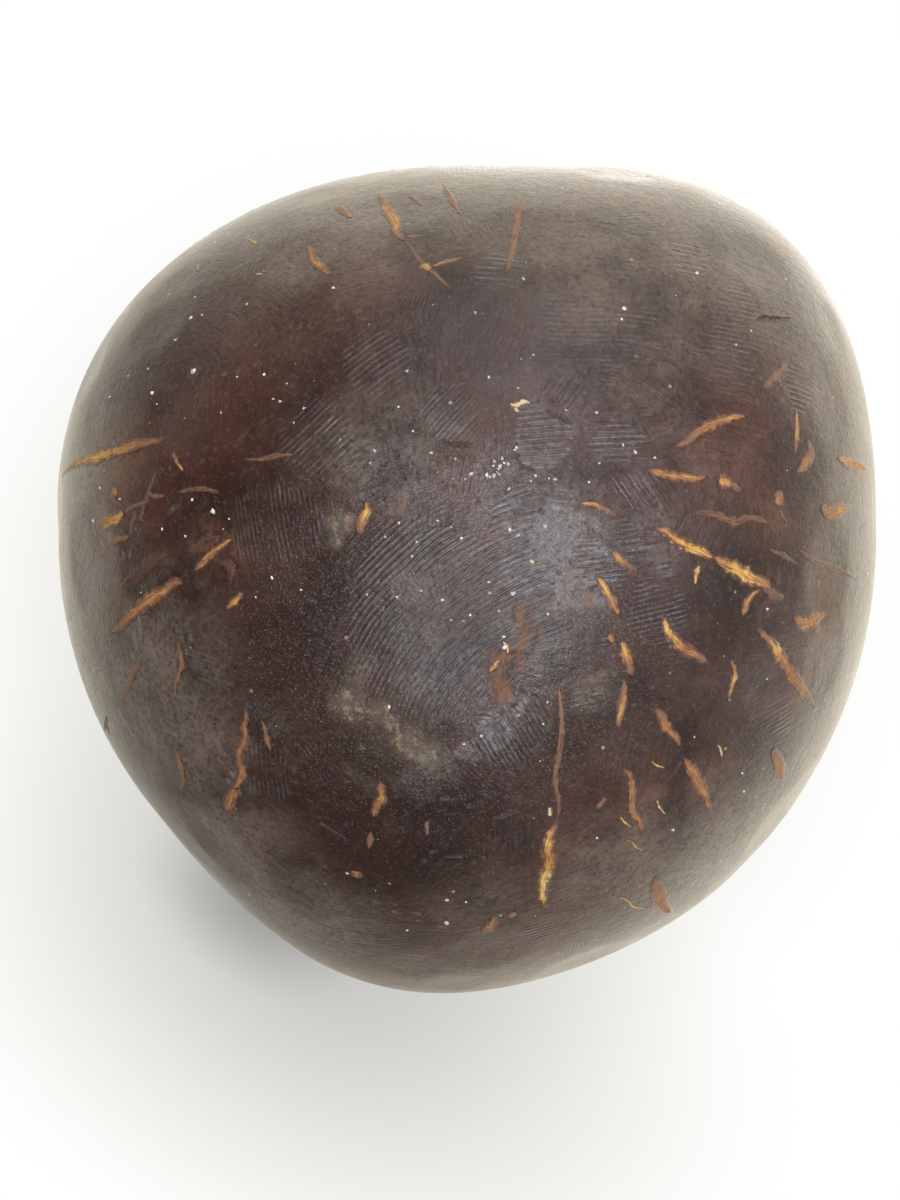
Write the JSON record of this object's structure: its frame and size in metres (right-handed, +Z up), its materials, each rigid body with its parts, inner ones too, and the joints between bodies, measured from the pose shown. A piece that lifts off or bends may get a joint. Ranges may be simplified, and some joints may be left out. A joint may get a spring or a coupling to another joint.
{
  "type": "coconut shell basket",
  "caption": "Three-lobed coconut shell bowl with a pierced band, a scalloped rim and a swinging handle on brass rivets.",
  "frame": {"origin": "centre of the ground flat that the basket stands on", "axes": "+Z up out of the bowl's mouth, X along the handle's pivot line"},
  "size_m": [0.1338, 0.1255, 0.1437],
  "materials": {
    "shell": "scraped and polished",
    "handle": "scraped and polished",
    "brass": "satin, darkened"
  },
  "bodies": {
    "bowl": {"shell_bowl": "shell", "right_rivet": "brass", "right_washer": "brass", "right_rove": "brass", "left_rivet": "brass", "left_washer": "brass", "left_rove": "brass"},
    "handle": {"handle": "handle"}
  },
  "joints": [
    {"name": "handle_swing", "type": "hinge", "parent": "bowl", "child": "handle", "pos_m": [0, 0, 0.068], "axis": [1, 0, 0], "range_deg": [-90, 90]}
  ]
}
